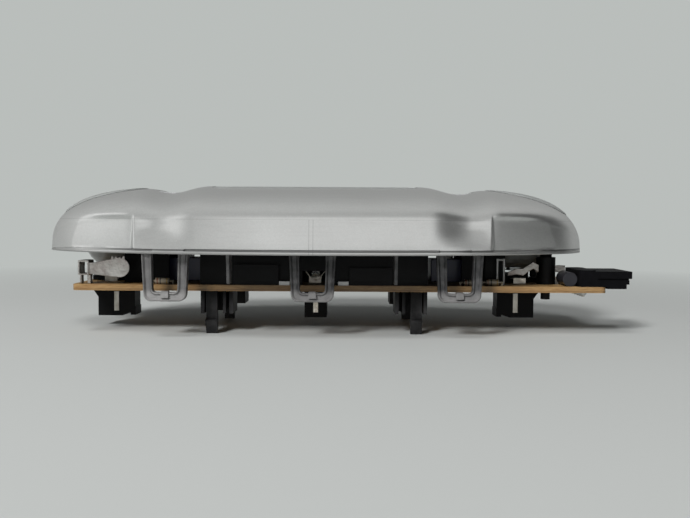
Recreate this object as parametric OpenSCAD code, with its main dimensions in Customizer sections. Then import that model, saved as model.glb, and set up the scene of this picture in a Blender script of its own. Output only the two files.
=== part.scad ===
// Car interior light: a dome and map-reading unit. A moulded cover carries three lenses and two push
// buttons, a black housing hangs inside it, and the circuit board under that takes three twist-in bulbs.
// +X runs along the long side, -Y is the front, +Z is up, and the origin is the centre of the cover's rim.

/* [Cover] */
// Length of the cover
cover_l = 150; // [144:1:156]
// Depth of the cover from front to rear
cover_d = 75; // [72:1:78]
// Height of the crown over the rim
cover_h = 18; // [17.6:0.1:19]
// Wall thickness of the cover
wall = 2; // [1.6:0.1:2.2]
// Depth of the scallops that hold the push buttons
scallop_depth = 1.7; // [1:0.1:2]
// Distance of each scallop from the centre
scallop_x = 39.3; // [39:0.1:39.6]

/* [Loops] */
// Distance of the outer loops from the centre one
loop_pitch = 37.2; // [36:0.1:38]
// Outside width of a loop
loop_w = 10.9; // [10:0.1:12]
// How far a loop hangs below the rim
loop_drop = 12.1; // [11:0.1:13]
// Thickness of a loop's legs and bar
loop_t = 2.3; // [1.8:0.1:2.6]

/* [Lenses] */
// Half length of the centre lens window
dome_half_l = 28; // [26:0.5:28]
// Half depth of the centre lens window
dome_half_d = 19; // [17:0.5:20]
// Centre of a reading lens
read_x = 59.5; // [59:0.1:60]
// Half length of a reading lens
read_half_l = 11.5; // [10.5:0.1:11.5]
// Half depth of a reading lens
read_half_d = 13.5; // [12:0.1:14]
// Clearance round the lenses and buttons
gap = 0.3; // [0.2:0.05:0.4]

/* [Board] */
// Thickness of the circuit board
board_t = 1.6; // [1.6]
// Height of the board's top under the rim
board_drop = 8.6; // [8.4:0.1:9]
// Left end of the board
board_left = -63.8; // [-65:0.1:-63]
// Right end of the board, under the connector
board_right = 77.3; // [76.5:0.1:78]
// Half depth of the board
board_half = 20; // [19.5:0.1:21]

/* [Housing] */
// Half length of the housing's front wall
front_half = 30.3; // [30:0.1:30.6]
// Distance of the snap legs from the centre
leg_x = 27.3; // [27:0.1:27.6]
// How far the snap legs reach below the rim
leg_drop = 21.8; // [20:0.1:23]
// Distance of a pillar from the centre along X
pillar_x = 63.5; // [63:0.1:64]

/* [Bulb holders] */
// Distance of the outer holders from the centre one
holder_pitch = 56.7; // [56:0.1:57.5]
// Broad side of a holder's body
holder_w = 10.4; // [10:0.1:10.8]
// Narrow side of a holder's body
holder_d = 6.3; // [6:0.1:7]
// How far a holder reaches below the rim
holder_drop = 18.8; // [18:0.1:19.5]
// Diameter of a holder's flange
flange_dia = 13.8; // [13:0.1:14.4]
// Diameter of a bulb's glass
bulb_dia = 9.8; // [9.4:0.1:10]

/* [Switches] */
// Distance of the switches from the centre
switch_x = 37; // [36.8:0.1:37.4]
// Side of a switch body
switch_w = 9; // [8.6:0.1:9]
// Travel of a push button
travel = 1.5; // [1:0.1:2]

/* [Connector] */
// Length of the connector housing
plug_l = 13.6; // [13:0.1:14]
// Depth of the connector housing
plug_d = 15; // [14:0.5:16]
// Number of contact pins
pin_count = 5; // [3:1:5]

/* [Hidden] */
$fn = 48;

half_l = cover_l / 2;
half_d = cover_d / 2;
board_top = -board_drop;
board_low = board_top - board_t;
wall_share = 0.478;       // part of a section's height that is upright wall
barrel_n = 2.2;           // roundness of the barrel over the wall
crown_n = 8.5;            // how late the crown drops towards the ends
wall_draft = 1;           // how far the wall leans in
scallop_in = 10.5;        // half width of a scallop towards the centre
scallop_out = 8;          // half width of a scallop towards the end
lip_share = 0.092;        // height of the lip as a part of the wall
crown_fall = 0.5;         // how much lower the crown is past the scallops
loop_y = -28.6;
loop_d = 2.2;             // size of a loop along Y
loop_flare = 0.5;         // how much a loop widens on each side at the rim
rib_x = 21;
rib_y = [25, 33.4];
rib_low = -7.5;
boss_at = [18, 27];
button_half = [5, 8];     // half sizes of a button's window
deck_z = 0.6;
deck_t = 1.4;
deck_top = deck_z + deck_t;
front_y = -18;
wall_t = 1.4;             // thickness of the housing's long walls
guard_low = -16.4;        // lower end of the plates that guard a snap leg
flat_a = [45, -28.2];     // ends of the flat panel on the front
flat_b = [63.5, -19.4];
flat_low = 1.2;
flat_high = 8.7;
flat_ledge = 1.6;         // height of the slope over a flat panel
read_proud = 0.35;
lens_t = 2;
crown_r = 171;            // radius of the crown across the centre lens
flange_t = 1.4;           // thickness of a holder's flange
release_turn = 60;        // turn that frees a holder from the board
lug_r = 7.3;
lug_half = 2.8;
leaf_z = board_top + 1.4; // height of the contact leaves over the board
leaf_t = 0.4;
leaf_l = 5;               // length of a leaf out from its strip
strip_half = 0.65;
bowl_low = -4.5;          // lower and upper end of a reading lens's reflector
bowl_high = 10;
switch_top = -2.2;
bore_half = 1.75;         // half size of a switch's bore
plunger_half = 1.6;
plunger_top = 4.2;
plunger_foot = 3.6;       // how deep the plunger stands in the switch
chip_x = 7.8;
chip_t = 1;
pin_x = 71.8;
pin_z = -6.9;
pin_half = 0.3;
pin_pitch = 2.4;
plug_x = 70.3;            // left end of the connector
plug_top = -4.5;
plug_low = -9.1;
plug_wall = 0.8;

function clamp(t) = min(1, max(0, t));
function ease(t) = let (u = clamp(t)) u * u * (3 - 2 * u);
function plan_half(x, a, b) = b * sqrt(max(0, 1 - pow(x / a, 2)));
function scallop(x) =
    let (d = abs(x) - scallop_x)
    let (t = d / (d < 0 ? scallop_in : scallop_out))
    abs(t) < 1 ? pow(cos(90 * t), 2) : 0;
function crown_z(x, a, h) =
    (h - crown_fall * ease((abs(x) - 33) / 15)) * sqrt(max(0, 1 - pow(abs(x) / a, crown_n)))
    - scallop_depth * scallop(x);
function draft_at(w) = wall_draft * min(1, w / 8);
function flute(x, z) = scallop_depth * scallop(x) * ease((z - 0.8) / 6);

// Height of the outside of a cover of half sizes a, b and height h
function skin_z(x, y, a, b, h) =
    let (w = plan_half(x, a, b))
    let (top = crown_z(x, a, h))
    let (knee = wall_share * top)
    let (side = w - draft_at(w) - flute(x, knee))
    let (t = clamp(abs(y) / max(0.01, side)))
    knee + (top - knee) * pow(1 - pow(t, barrel_n), 1 / barrel_n);

// Upright wall rows: share of the wall's height, and how far the row is set in
outer_rows = [
    [0, 0], [lip_share, 0], [lip_share + 0.008, 0.7], [lip_share + 0.048, 0.7],
    [lip_share + 0.06, 0.35], [0.4, 0.45], [0.7, 0.68]
];
inner_rows = [[-0.2, 0.2], [0.5, 0.5]];

// Front half of one section, from the rim to the crown, as [y, z] with y positive
function half_section(x, a, b, h, rows, steps) =
    let (w = plan_half(x, a, b))
    let (top = crown_z(x, a, h))
    let (knee = wall_share * top)
    let (lean = draft_at(w))
    let (side = w - lean - flute(x, knee))
    concat(
        [for (r = rows) [w - lean * r[1] - flute(x, knee * r[0]), knee * r[0]]],
        [for (i = [0:steps]) let (f = 90 * i / steps) [
            side * pow(cos(f), 2 / barrel_n),
            knee + (top - knee) * pow(sin(f), 2 / barrel_n)
        ]]
    );

// A whole section, from the front rim over the crown to the rear rim
function section(x, a, b, h, rows, steps) =
    let (s = half_section(x, a, b, h, rows, steps))
    let (n = len(s))
    concat(
        [for (i = [0:n - 1]) [x, -s[i][0], s[i][1]]],
        [for (i = [n - 2:-1:0]) [x, s[i][0], s[i][1]]]
    );

// Stations along X, close together through the scallops and at the ends
function half_stations(fine, ends) = concat(
    [for (x = [7:7:28]) x],
    [for (i = [0:fine]) 30.5 + 16 * i / fine],
    [for (i = [1:ends]) 46.5 + (half_l - 0.03 - 46.5) * sin(90 * i / ends)]
);
function stations(fine, ends) =
    let (s = half_stations(fine, ends))
    let (n = len(s))
    concat([for (i = [n - 1:-1:0]) -s[i]], [0], s);

// A closed solid through a row of closed rings that all have the same number of points
module skin(rings) {
    n = len(rings[0]);
    m = len(rings);
    points = [for (r = rings) for (p = r) p];
    sides = [
        for (i = [0:m - 2]) for (j = [0:n - 1]) let (k = (j + 1) % n)
        each [[i * n + j, i * n + k, (i + 1) * n + k], [i * n + j, (i + 1) * n + k, (i + 1) * n + j]]
    ];
    first = [for (j = [n - 1:-1:0]) j];
    last = [for (j = [0:n - 1]) (m - 1) * n + j];
    polyhedron(points = points, faces = concat([first], sides, [last]));
}

function pin_y(i) = plug_d / 2 - board_half + pin_pitch * (i - (pin_count - 1) / 2);

module both_ends() {
    children();
    mirror([1, 0, 0]) children();
}

module four_corners() {
    both_ends() {
        children();
        mirror([0, 1, 0]) children();
    }
}

module rounded(x, y, r) {
    hull() {
        for (i = [-1, 1], j = [-1, 1]) {
            translate([i * (x - r), j * (y - r)]) circle(r);
        }
    }
}

module block(x0, x1, y0, y1, z0, z1) {
    translate([x0, y0, z0]) cube([x1 - x0, y1 - y0, z1 - z0]);
}

// Cover

module cover_body() {
    skin([for (x = stations(9, 9)) section(x, half_l, half_d, cover_h, outer_rows, 8)]);
}

// A cover of the same form, smaller all over by inset
module cover_inside(inset) {
    a = half_l - inset;
    b = half_d - inset - 0.35;
    skin([
        for (x = stations(6, 6))
        section(x * a / half_l, a, b, cover_h - inset, inner_rows, 5)
    ]);
}

// What the flat panels take off the front, or leave standing behind them
module flat_cut(back) {
    turn = atan2(flat_b[1] - flat_a[1], flat_b[0] - flat_a[0]);
    reach = 30;
    out = 12;
    both_ends()
    translate([flat_a[0], flat_a[1], 0])
    rotate(turn)
    hull() {
        block(-back, reach, -out, back, flat_low - 2 * back, flat_high + back);
        block(1 - back, reach, -out, back - 1.8, flat_low, flat_high + flat_ledge + back);
    }
}

function read_outline(grow) = [
    for (i = [0:27]) let (f = 360 * (i + 0.5) / 28) [
        (read_half_l + grow) * sign(cos(f)) * pow(abs(cos(f)), 0.8),
        (read_half_d + grow) * sign(sin(f)) * pow(abs(sin(f)), 0.8)
    ]
];

module cover_windows() {
    translate([0, 0, 5])
    linear_extrude(20) {
        rounded(dome_half_l, dome_half_d, 7, $fn = 24);
        both_ends() translate([scallop_x, 0]) rounded(button_half[0], button_half[1], 2, $fn = 16);
        both_ends() translate([read_x, 0]) polygon(read_outline(0));
    }
}

// Sloped pads that fill the groove over the outer front loops
module lip_pads() {
    from = 31.6;
    to = 39.9;
    y0 = plan_half(from, half_l, half_d);
    y1 = plan_half(to, half_l, half_d);
    both_ends()
    translate([from, -y0, 0])
    rotate([90, 0, 90 + atan2(y0 - y1, to - from)])
    linear_extrude(norm([to - from, y0 - y1]))
    polygon([[0.05, 0.5], [0.05, 0.85], [0.5, 1.65], [1.2, 1.65], [1.2, 0.5]]);
}

// Side view of a loop: a U that widens a little towards the rim and runs on up into the cover
module loop_profile() {
    half = loop_w / 2;
    outer_r = 2;
    inner_r = 0.9;
    clear = half - loop_t;
    difference() {
        hull() {
            for (s = [-1, 1]) {
                translate([s * (half - outer_r), outer_r - loop_drop]) circle(outer_r, $fn = 24);
            }
            translate([-half - loop_flare, 0]) square([loop_w + 2 * loop_flare, cover_h]);
        }
        hull() {
            for (s = [-1, 1]) {
                translate([s * (clear - inner_r), loop_t + inner_r - loop_drop]) circle(inner_r, $fn = 16);
            }
            translate([-clear - 0.2, 0]) square([2 * clear + 0.4, cover_h + 1]);
        }
    }
}

// One U-shaped loop with the nib in the middle of its bar
module rim_loop() {
    nib = 1;
    rotate([90, 0, 0]) linear_extrude(loop_d, center = true) loop_profile();
    block(-nib, nib, -1.6, 0, loop_t - loop_drop - 1.5, loop_t - loop_drop + 0.35);
}

// Everything that stands inside the cover or hangs from it: loops, ribs and the bosses on the deck
module hangers() {
    for (x = [-loop_pitch, 0, loop_pitch], m = [0, 1]) {
        mirror([0, m, 0]) translate([x, loop_y, 0]) rim_loop();
    }
    four_corners() {
        translate([boss_at[0], boss_at[1], deck_top]) cylinder(h = cover_h, d = 5, $fn = 16);
        hull() {
            block(rib_x - 0.3, rib_x + 0.3, rib_y[0], rib_y[1], 4, cover_h);
            block(rib_x - 0.55, rib_x + 0.55, rib_y[0] + 0.5, rib_y[1] - 2.4, rib_low, rib_low + 0.2);
        }
    }
}

module bezel() {
    color([0.74, 0.75, 0.75])
    union() {
        difference() {
            cover_body();
            flat_cut(0);
            difference() {
                cover_inside(wall);
                flat_cut(wall);
            }
            cover_windows();
        }
        lip_pads();
        intersection() {
            hangers();
            union() {
                cover_inside(wall / 2);
                block(-60, 60, -36, 36, -30, 0.9);
            }
        }
    }
}

// Lenses and buttons

module dome_slab(half_x, half_y, corner, top, thick) {
    intersection() {
        translate([0, 0, top - 6]) linear_extrude(8) rounded(half_x, half_y, corner);
        difference() {
            translate([-40, 0, top - crown_r]) rotate([0, 90, 0]) cylinder(h = 80, r = crown_r);
            translate([-41, 0, top - crown_r]) rotate([0, 90, 0]) cylinder(h = 82, r = crown_r - thick);
        }
    }
}

module centre_lens() {
    color([0.93, 0.94, 0.93, 0.8])
    union() {
        dome_slab(dome_half_l - gap, dome_half_d - gap, 7 - gap, cover_h - 0.05, 3);
        dome_slab(dome_half_l + 1.5, dome_half_d + 1.5, 8, cover_h - wall - 0.5, 0.9);
    }
}

// A reading lens: it follows the cover's outside a little proud of it, and its flange sits inside
module reading_lens() {
    a = half_l;
    edge = read_outline(-gap);
    color([0.90, 0.92, 0.91, 0.7])
    skin(concat(
        [for (s = [0.02, 0.3, 0.6, 0.85, 0.97]) [
            for (p = edge) [read_x + p[0] * s, p[1] * s,
                skin_z(read_x + p[0] * s, p[1] * s, a, half_d, cover_h) + read_proud]
        ]],
        [[for (p = edge) [read_x + p[0], p[1],
            skin_z(read_x + p[0], p[1], a, half_d, cover_h) + read_proud - 0.25]]],
        [for (s = [1, 0.6, 0.02]) [
            for (p = edge) [read_x + p[0] * s, p[1] * s,
                skin_z(read_x + p[0] * s, p[1] * s, a, half_d, cover_h) - lens_t]
        ]]
    ));
}

module left_reading_lens() {
    mirror([1, 0, 0]) reading_lens();
}

module right_reading_lens() {
    reading_lens();
}

module push_button() {
    top = crown_z(scallop_x, half_l, cover_h) - 0.1;
    cap_low = 9;
    flange_z = 11.6;
    skin_t = 1.4;
    dish_r = 19;
    stem = 2.6;
    stem_low = 1.2;
    socket = plunger_half;
    color([0.70, 0.71, 0.71])
    translate([scallop_x, 0, 0])
    difference() {
        union() {
            translate([0, 0, cap_low]) linear_extrude(top + 1 - cap_low)
            rounded(button_half[0] - gap, button_half[1] - gap, 1.8);
            translate([0, 0, flange_z]) linear_extrude(1)
            rounded(button_half[0] + 0.8, button_half[1] + 0.8, 2.4);
            translate([switch_x - scallop_x, 0, 0])
            block(-stem, stem, -stem, stem, stem_low, flange_z + 0.4);
        }
        translate([0, -20, top + dish_r]) rotate([-90, 0, 0]) cylinder(h = 40, r = dish_r);
        difference() {
            translate([0, 0, cap_low - 1]) linear_extrude(top - skin_t - cap_low + 1) rounded(3.5, 6.5, 1);
            translate([switch_x - scallop_x, 0, 0]) block(-stem, stem, -stem, stem, 0, 20);
        }
        translate([switch_x - scallop_x, 0, 0]) block(-socket, socket, -socket, socket, 0, plunger_top);
    }
}

module left_push_button() {
    mirror([1, 0, 0]) push_button();
}

module right_push_button() {
    push_button();
}

// Housing

// Side view of a snap leg: the nose points forward and the tip slopes back
module leg_profile(y) {
    leg_t = 1.6;
    nose = 1.6;
    nose_z = -18.1;
    polygon([
        [y, deck_z], [y, nose_z + 0.5], [y - nose, nose_z], [y + 0.4, -leg_drop],
        [y + leg_t, -leg_drop], [y + leg_t, deck_z]
    ]);
}

// A snap leg between the plates that guard it
module leg_cluster() {
    leg_w = 3;
    back = -9;
    left = 21.6;
    right = 30.2;
    plate_y = front_y + 0.2;
    translate([leg_x - leg_w / 2, 0, 0])
    rotate([90, 0, 90])
    linear_extrude(leg_w)
    leg_profile(front_y + 0.4);
    block(right - 1, right, plate_y, back, guard_low, deck_z);
    block(left, left + 1, plate_y, back, guard_low, deck_z);
    block(left + 2, left + 2.8, plate_y + 1, back, guard_low, deck_z);
    block(left, right, back - 1, back, guard_low, deck_z);
}

// A pillar stands on the board, and its peg goes through the board
module pillar() {
    shoulder = 7.4;
    peg_low = -12.8;
    translate([pillar_x, 10, board_top]) {
        cylinder(h = shoulder, d = 5.2);
        cylinder(h = deck_z - board_top + 0.1, d = 3.2);
    }
    translate([pillar_x, 10, peg_low]) cylinder(h = board_top - peg_low + 1, d = 2.5);
}

module deck_outline() {
    half = 31;
    scale([(half_l - 7) / half, 1]) circle(half, $fn = 96);
}

// The deck, open for the reflectors, the buttons' stems and the cover's loops and ribs
module deck() {
    low = deck_z - 1;
    high = deck_top + 1;
    difference() {
        translate([0, 0, deck_z]) linear_extrude(deck_t) deck_outline();
        translate([0, 0, low]) linear_extrude(high - low) rounded(18.5, 15.5, 3);
        both_ends() {
            translate([holder_pitch, 0, low]) cylinder(h = high - low, r = 9.8);
            block(switch_x - 4.6, switch_x + 4.6, -4.6, 4.6, low, high);
        }
        four_corners() {
            block(31, 44, 25, 32, low, high);
            block(rib_x - 1, rib_x + 1, 24.5, 33, low, high);
        }
        for (s = [-1, 1]) {
            block(-8, 8, s * 29.5 - 3, s * 29.5 + 3, low, high);
        }
    }
}

// The front wall with its window, and a raised box with a ledge on each side of the window
module front_wall() {
    proud = front_y - 1.2;
    box_from = 9.4;
    window = 3.1;
    window_top = -4.9;
    ledge_low = -7.9;
    ledge_high = -7.5;
    difference() {
        union() {
            block(-front_half, front_half, front_y, front_y + wall_t, board_top, deck_z);
            block(-21.2, -box_from, proud, front_y, board_top, -3.2);
            block(box_from, 20.7, proud, front_y, board_top, -4);
        }
        block(-window, window, front_y - 2, front_y + 2, board_top - 1, window_top);
        block(-17.5, -11.2, proud - 0.1, proud + 0.3, ledge_low, ledge_high);
        block(11, 18, proud - 0.1, proud + 0.3, ledge_low, ledge_high);
    }
}

// Three walls round each switch
module switch_walls() {
    near = 40.6;
    far = 47.4;
    half = 9;
    both_ends() {
        block(near, far, -half, -half + 1.2, board_top, deck_z);
        block(near, far, half - 1.2, half, board_top, deck_z);
        block(far - 1, far, -half, half, board_top, deck_z);
    }
}

module housing() {
    color([0.07, 0.07, 0.08])
    union() {
        deck();
        front_wall();
        block(-front_half, front_half, -front_y - wall_t, -front_y, board_top, deck_z);
        four_corners() leg_cluster();
        switch_walls();
        pillar();
        difference() {
            mirror([0, 1, 0]) pillar();
            block(60, 67, -11.1, -10.5, -5.4, -3.3);
        }
        mirror([1, 0, 0]) pillar();
    }
}

// Reflectors

module centre_reflector() {
    tray_z = 13;
    tray_low = -2;
    lip = 0.6;
    color([0.86, 0.86, 0.84])
    difference() {
        union() {
            hull() {
                translate([0, 0, tray_z]) linear_extrude(lip) rounded(25, 17.5, 5, $fn = 24);
                translate([0, 0, tray_low]) linear_extrude(0.2) rounded(12, 10, 4, $fn = 24);
            }
            translate([0, 0, deck_top]) linear_extrude(1) rounded(20.5, 17, 4);
        }
        hull() {
            translate([0, 0, tray_z + 0.7]) linear_extrude(lip) rounded(24.2, 16.7, 4.4, $fn = 24);
            translate([0, 0, tray_low + 1]) linear_extrude(0.2) rounded(11, 9, 3.4, $fn = 24);
        }
        translate([0, 0, tray_low - 2]) cylinder(h = 6, d = 12.6);
    }
}

// Outer radius of a bowl: it opens quickly from its foot and then runs almost straight up
function bowl_r(z) = 5 + 4.6 * (1 - pow(1 - clamp((z - bowl_low) / (bowl_high - bowl_low)), 5));

module reading_reflector() {
    steps = 12;
    bowl_t = 0.9;
    levels = [for (i = [0:steps]) bowl_low + (bowl_high - bowl_low) * i / steps];
    color([0.80, 0.80, 0.78])
    translate([holder_pitch, 0, 0])
    union() {
        rotate_extrude()
        polygon(concat(
            [for (z = levels) [bowl_r(z), z]],
            [for (i = [steps:-1:0]) [bowl_r(levels[i]) - bowl_t, levels[i]]]
        ));
        translate([0, 0, deck_top])
        difference() {
            cylinder(h = 0.8, r = 10.6);
            translate([0, 0, -1]) cylinder(h = 3, r = bowl_r(deck_top) - 0.4);
        }
    }
}

module left_reflector() {
    mirror([1, 0, 0]) reading_reflector();
}

module right_reflector() {
    reading_reflector();
}

// Circuit board and what is soldered to it

module holder_hole(x) {
    translate([x, 0]) {
        circle(6);
        rotate(release_turn) square([2 * lug_r + 0.8, 2 * lug_half + 0.6], center = true);
    }
}

module circuit_board() {
    middle = (board_left + board_right) / 2;
    peg_r = 1.35;
    color([0.78, 0.60, 0.34])
    translate([0, 0, board_low])
    linear_extrude(board_t)
    difference() {
        translate([middle, 0]) rounded((board_right - board_left) / 2, board_half, 1.5);
        holder_hole(-holder_pitch);
        holder_hole(0);
        holder_hole(holder_pitch);
        four_corners() translate([21.2, 8.6]) square([9.4, 9.8]);
        both_ends() translate([pillar_x, 10]) circle(peg_r);
        translate([pillar_x, -10]) circle(peg_r);
        for (i = [0:pin_count - 1]) {
            translate([pin_x, pin_y(i)]) circle(0.5);
        }
    }
}

// A lying axial part at [x, y] with its leads bent down to the board
module axial(x, y, body_l, body_d) {
    z = board_top + body_d / 2;
    lead = 0.5;
    bend = body_l / 2 + 1;
    translate([x - body_l / 2, y, z]) rotate([0, 90, 0]) cylinder(h = body_l, d = body_d);
    for (s = [-1, 1]) {
        translate([x + s * (bend - 0.4), y, z]) rotate([0, 90, 0])
        cylinder(h = 1.3, d = lead, center = true, $fn = 16);
        translate([x + s * bend, y, board_top]) cylinder(h = body_d / 2 + 0.2, d = lead, $fn = 16);
    }
}

module resistors() {
    color([0.80, 0.76, 0.66]) {
        axial(-40.3, -18.2, 3.6, 1.7);
        axial(41.3, -18.2, 2.8, 1.7);
        axial(47.5, -17.6, 3.2, 1.8);
    }
}

module diodes() {
    color([0.22, 0.20, 0.20])
    for (x = [-38, 38]) {
        axial(x, 15, 4.2, 2);
    }
}

module capacitor() {
    can_r = 1.9;
    can_l = 7;
    can_x = 67.9;
    can_y = -18.6;
    mid = board_top + can_r;
    foot = can_y + can_l;
    color([0.09, 0.09, 0.10]) {
        translate([can_x, can_y, mid]) rotate([-90, 0, 0]) cylinder(h = can_l, d = 2 * can_r);
        for (s = [-1, 1]) {
            translate([can_x + s * 0.9, foot, 0]) {
                block(-0.25, 0.25, -0.4, 0.6, mid - 0.5, mid);
                block(-0.25, 0.25, 0.2, 0.6, board_top, mid);
            }
        }
    }
}

// Small chips either side of the centre, and two upright wire bridges by the right lamp
module jumper_wires() {
    wire_top = 7;
    wire = 0.6;
    span = 1.8;
    color([0.72, 0.72, 0.70]) {
        for (s = [-1, 1]) {
            translate([s * chip_x, 0, 0]) block(-1.4, 1.4, -19.7, -18.1, board_top, board_top + chip_t);
        }
        for (y = [-13, 13]) {
            translate([50.5, y, board_top]) {
                for (s = [-1, 1]) {
                    translate([s * span / 2, 0, 0]) cylinder(h = wire_top, d = wire, $fn = 16);
                }
                translate([0, 0, wire_top - wire / 2]) rotate([0, 90, 0])
                cylinder(h = span, d = wire, center = true, $fn = 16);
            }
        }
    }
}

// Bulb holders: the body hangs under the board, and two lugs lock over its top. The bulb's slot runs
// along the broad side. A turned holder has its broad side along Y.

function face_y(turned) = (turned ? holder_w : holder_d) / 2 - 0.1;

module holder_below(turned) {
    x = (turned ? holder_d : holder_w) / 2;
    y = (turned ? holder_w : holder_d) / 2;
    flange_low = board_low - flange_t;
    hook = 1.3;
    web = 1.4;
    translate([0, 0, flange_low]) cylinder(h = flange_t, d = flange_dia);
    if (turned) {
        block(-x, x, -y, y, -holder_drop, flange_low + 0.1);
    } else {
        difference() {
            block(-x, x, -y, y, -holder_drop, flange_low + 0.1);
            translate([x - 3.6, 0, -holder_drop]) rotate([0, -18, 0]) block(0, 10, -10, 10, -4, 0);
        }
        block(x - hook, x + 0.2, -y, y, -holder_drop + 0.2, -16.2);
        translate([-x, y, flange_low]) rotate([90, 0, 0]) linear_extrude(2 * y)
        polygon([[0.1, 0.1], [-web, 0.1], [0.1, -2]]);
    }
}

module holder_above(turned) {
    lug_t = 1.2;
    cylinder(h = board_t, d = 11.4);
    translate([0, 0, board_t]) {
        intersection() {
            cylinder(h = lug_t, r = lug_r);
            block(-lug_r, lug_r, -lug_half, lug_half, 0, lug_t);
        }
        linear_extrude(2.5) rounded(3.7, 3.1, 0.8);
    }
}

module bulb_holder(turned) {
    slot_turn = turned ? 90 : 0;
    face = face_y(turned);
    base_half = 4.6;
    base_low = -17.2;
    groove = 0.25;
    color([0.06, 0.06, 0.06])
    difference() {
        union() {
            holder_below(turned);
            translate([0, 0, board_low]) holder_above(turned);
        }
        rotate(slot_turn) block(-base_half, base_half, -1.3, 1.3, base_low, 0);
        for (s = [-1, 1]) {
            block(-0.8, 0.8, s * face - groove, s * face + groove, base_low - 0.3, 0);
        }
    }
}

// Folded petals on a leaf of the centre holder, which show behind the housing's window
module petals() {
    fold = 0.35;
    path = [[-2.9, 2.2], [-2.2, 1.5], [-1.2, 0], [0, 1.3], [1.2, 0], [2.2, 1.5], [2.9, 2.2]];
    n = len(path);
    rotate([90, 0, 0])
    linear_extrude(1.6)
    polygon(concat(
        path,
        [for (i = [n - 1:-1:0]) [path[i][0], path[i][1] - fold]]
    ));
}

// Two strips that come up through a holder and fold out into leaves that press on the board
module holder_contacts(turned) {
    face = face_y(turned);
    leaf_half = 1.7;
    leaf_low = leaf_z - leaf_t;
    color([0.80, 0.78, 0.72])
    for (m = [0, 1]) {
        mirror([0, m, 0]) translate([0, -face, 0]) {
            block(-strip_half, strip_half, -leaf_t / 2, leaf_t / 2, -17.4, leaf_z);
            block(-leaf_half, leaf_half, -leaf_l, -0.1, leaf_low, leaf_z);
            block(-leaf_half, leaf_half, -leaf_l - leaf_t, -leaf_l, board_top, leaf_z);
            if (turned) {
                translate([0, -2.4, leaf_low + 0.2]) petals();
            }
        }
    }
}

// A wedge-base bulb: capsule, short neck and flat glass base
module bulb(turned) {
    r = bulb_dia / 2;
    low = -5.4;
    belly = -1;
    shoulder = 4;
    color([0.90, 0.92, 0.94, 0.5])
    union() {
        rotate_extrude()
        polygon(concat(
            [[0, low], [2.6, low]],
            [for (f = [-60:15:0]) [r * cos(f) * (f < -50 ? 0.8 : 1), belly + 3.6 * sin(f)]],
            [for (f = [0:10:80]) [r * cos(f), shoulder + r * sin(f)]],
            [[0, shoulder + r]]
        ));
        rotate(turned ? 90 : 0) block(-4.4, 4.4, -1.1, 1.1, low - 11, low + 0.8);
    }
}

module left_bulb_holder() {
    translate([-holder_pitch, 0, 0]) bulb_holder(false);
}

module centre_bulb_holder() {
    bulb_holder(true);
}

module right_bulb_holder() {
    translate([holder_pitch, 0, 0]) mirror([1, 0, 0]) bulb_holder(false);
}

module left_holder_contacts() {
    translate([-holder_pitch, 0, 0]) holder_contacts(false);
}

module centre_holder_contacts() {
    holder_contacts(true);
}

module right_holder_contacts() {
    translate([holder_pitch, 0, 0]) holder_contacts(false);
}

module left_bulb() {
    translate([-holder_pitch, 0, 0]) bulb(false);
}

module centre_bulb() {
    bulb(true);
}

module right_bulb() {
    translate([holder_pitch, 0, 0]) bulb(false);
}

// Switches

module switch_body() {
    half = switch_w / 2;
    bore_low = switch_top - plunger_foot - travel - 0.3;
    color([0.05, 0.10, 0.42])
    translate([switch_x, 0, 0])
    difference() {
        block(-half, half, -half, half, board_top, switch_top);
        block(-bore_half, bore_half, -bore_half, bore_half, bore_low, switch_top + 1);
    }
}

module switch_plunger() {
    foot = switch_top - plunger_foot;
    foot_half = plunger_half + 0.1;
    color([0.85, 0.85, 0.83])
    translate([switch_x, 0, 0]) {
        block(-plunger_half, plunger_half, -plunger_half, plunger_half, foot, plunger_top);
        block(-foot_half, foot_half, -foot_half, foot_half, foot, foot + 0.6);
    }
}

module left_switch_body() {
    mirror([1, 0, 0]) switch_body();
}

module right_switch_body() {
    switch_body();
}

module left_switch_plunger() {
    mirror([1, 0, 0]) switch_plunger();
}

module right_switch_plunger() {
    switch_plunger();
}

// Steel clips

// The left clip: a rounded blade that faces the front, a folded box at its end and feet on the board
module left_spring_clip() {
    sheet_t = 0.4;
    y = -19.2;
    box_left = -62.2;
    box_right = -59.4;
    box_low = -6.2;
    box_high = -2.3;
    color([0.75, 0.74, 0.72])
    union() {
        translate([0, y + sheet_t, 0])
        rotate([90, 0, 0])
        linear_extrude(sheet_t)
        hull() {
            translate([-57.4, -4.5]) circle(1.7, $fn = 32);
            translate([-51.4, -4.2]) circle(2.6, $fn = 32);
        }
        for (i = [0:3]) {
            block(-53.6 + i, -53 + i, y, y + sheet_t, -2.4, -1.2);
        }
        difference() {
            block(box_left, box_right, y - 0.6, y + 4, box_low, box_high);
            block(
                box_left + sheet_t, box_right - sheet_t, y - 1, y + 5,
                box_low + sheet_t, box_high - sheet_t
            );
        }
        block(box_right - 0.1, box_right + 1.9, y, y + sheet_t, -6, -2.9);
        block(box_left, box_left + sheet_t, y + 1, y + 3, board_top, box_low + 0.2);
        block(box_right - 0.8, box_right, y + 1, y + 3, board_top, box_low + 0.2);
    }
}

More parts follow.
